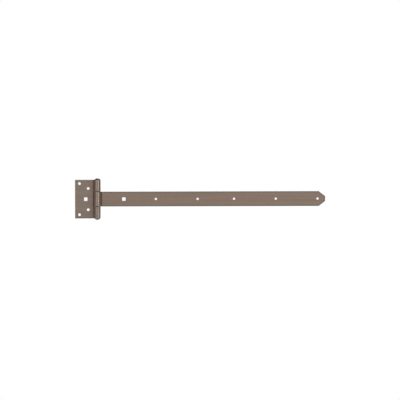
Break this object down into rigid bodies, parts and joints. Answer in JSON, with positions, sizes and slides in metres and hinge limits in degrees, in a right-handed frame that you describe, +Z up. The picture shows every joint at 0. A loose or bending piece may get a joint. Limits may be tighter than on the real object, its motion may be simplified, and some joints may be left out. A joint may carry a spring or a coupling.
{
  "type": "tee hinge",
  "caption": "Heavy tee hinge: a tall wall plate and a long pointed strap, their rolled eyes interleaved on a riveted pin, with screw holes and square bolt holes for hanging gates and doors.",
  "frame": {"origin": "centre of the wall plate's square bolt hole, on the flat back that lies against the door frame", "axes": "+X along the strap towards its tip, +Y into the wall (the front of the hinge looks along -Y), +Z up along the pin"},
  "size_m": [0.6591, 0.017, 0.1097],
  "materials": {
    "coated_steel": "satin brown-grey coating over formed steel sheet"
  },
  "bodies": {
    "frame_leaf": {"wall_plate": "coated_steel", "hinge_pin": "coated_steel"},
    "strap_leaf": {"strap": "coated_steel"}
  },
  "joints": [
    {"name": "strap_swing", "type": "hinge", "parent": "frame_leaf", "child": "strap_leaf", "pos_m": [0.0308, -0.00848, 0], "axis": [0, 0, -1], "range_deg": [-80, 180]}
  ]
}
